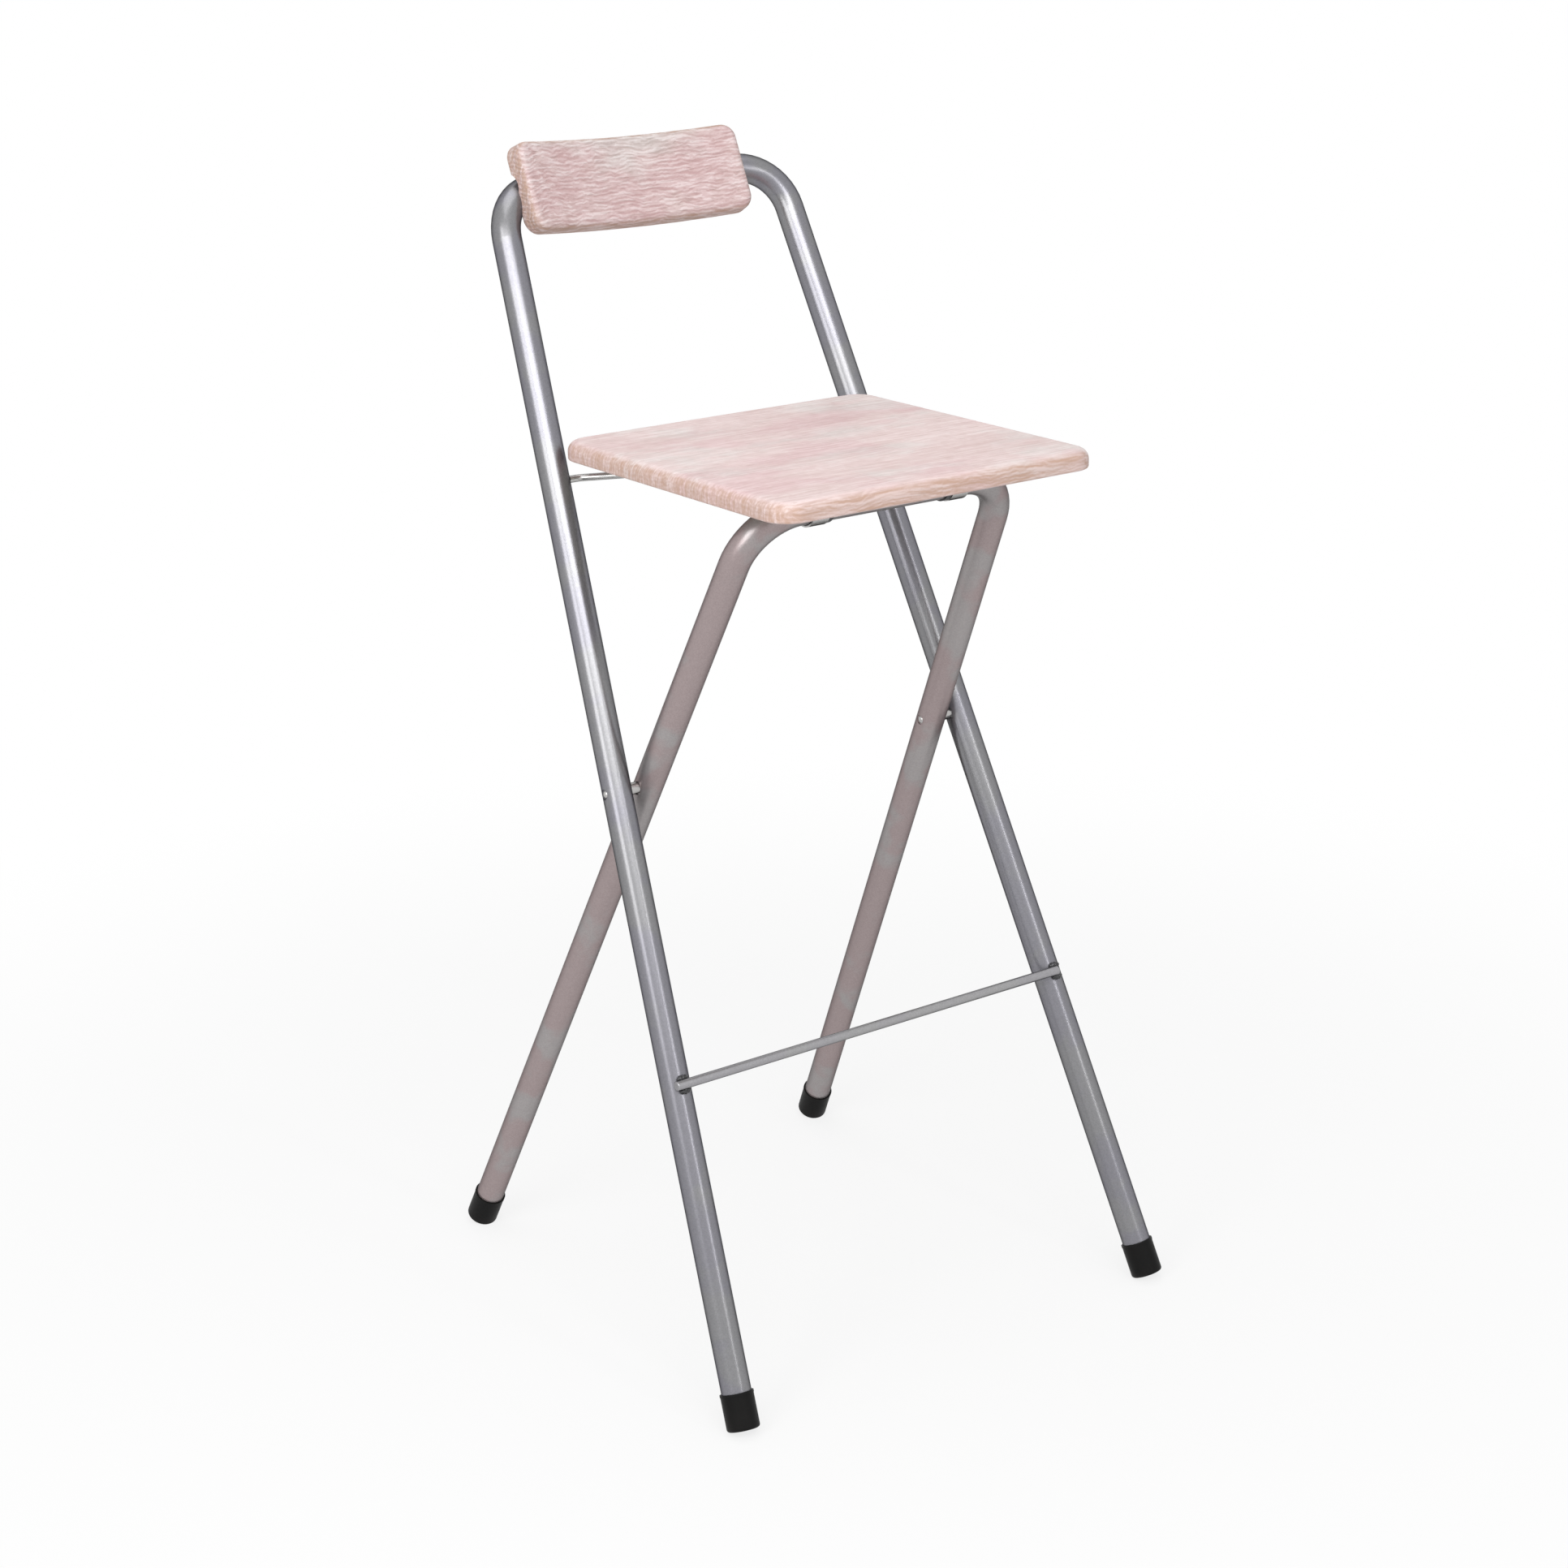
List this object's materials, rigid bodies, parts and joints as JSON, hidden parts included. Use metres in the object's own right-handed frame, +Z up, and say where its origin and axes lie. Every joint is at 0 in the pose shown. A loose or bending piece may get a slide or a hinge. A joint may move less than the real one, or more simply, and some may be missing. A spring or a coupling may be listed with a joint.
{
  "type": "folding bar stool",
  "caption": "Tall folding stool with a square board seat, a small curved back rest, crossed tube frames, a foot rest rod and a wire stay.",
  "frame": {"origin": "on the floor, at the centre of the stool's footprint", "axes": "+Z up, -Y the way the sitter faces, +X across the stool"},
  "size_m": [0.4654, 0.487, 0.9854],
  "materials": {
    "tube_paint": "silver grey satin paint on round steel tube",
    "bright_steel": "zinc plated steel rivets, straps, screws and wire",
    "oak_board": "pale oak effect foil on board, matt, with open grain across the stool",
    "black_rubber": "black rubber, matt",
    "black_plastic": "black moulded plastic"
  },
  "bodies": {
    "long_frame": {"back_pad": "oak_board", "back_pad_screws": "bright_steel", "front_foot_left": "black_rubber", "front_foot_right": "black_rubber", "long_frame_tube": "tube_paint", "pivot_rivet_left": "bright_steel", "pivot_rivet_right": "bright_steel", "pivot_spacer_left": "bright_steel", "pivot_spacer_right": "bright_steel", "rung": "tube_paint", "rung_welds": "tube_paint"},
    "short_frame": {"rear_foot_left": "black_rubber", "rear_foot_right": "black_rubber", "short_frame_tube": "tube_paint"},
    "seat": {"seat_board": "oak_board", "seat_strap_left": "bright_steel", "seat_strap_right": "bright_steel", "stay_clip": "bright_steel", "stay_clip_screws": "bright_steel", "strap_liner_left": "black_plastic", "strap_liner_right": "black_plastic", "strap_screws": "bright_steel"},
    "stay": {"stay_wire": "bright_steel"}
  },
  "joints": [
    {"name": "frame_fold", "type": "hinge", "parent": "long_frame", "child": "short_frame", "pos_m": [0, -0.01286, 0.4823], "axis": [-1, 0, 0], "range_deg": [0, 48.77]},
    {"name": "seat_tilt", "type": "hinge", "parent": "short_frame", "child": "seat", "pos_m": [0, -0.13861, 0.72742], "axis": [1, 0, 0], "range_deg": [0, 117.17]},
    {"name": "stay_swing", "type": "hinge", "parent": "seat", "child": "stay", "pos_m": [0, -0.02872, 0.73717], "axis": [-1, 0, 0], "range_deg": [0, 161.65]}
  ],
  "couplings": [
    {"joint": "seat_tilt", "follows": "frame_fold", "ratio": 2.4023},
    {"joint": "stay_swing", "follows": "frame_fold", "ratio": 3.3143}
  ]
}
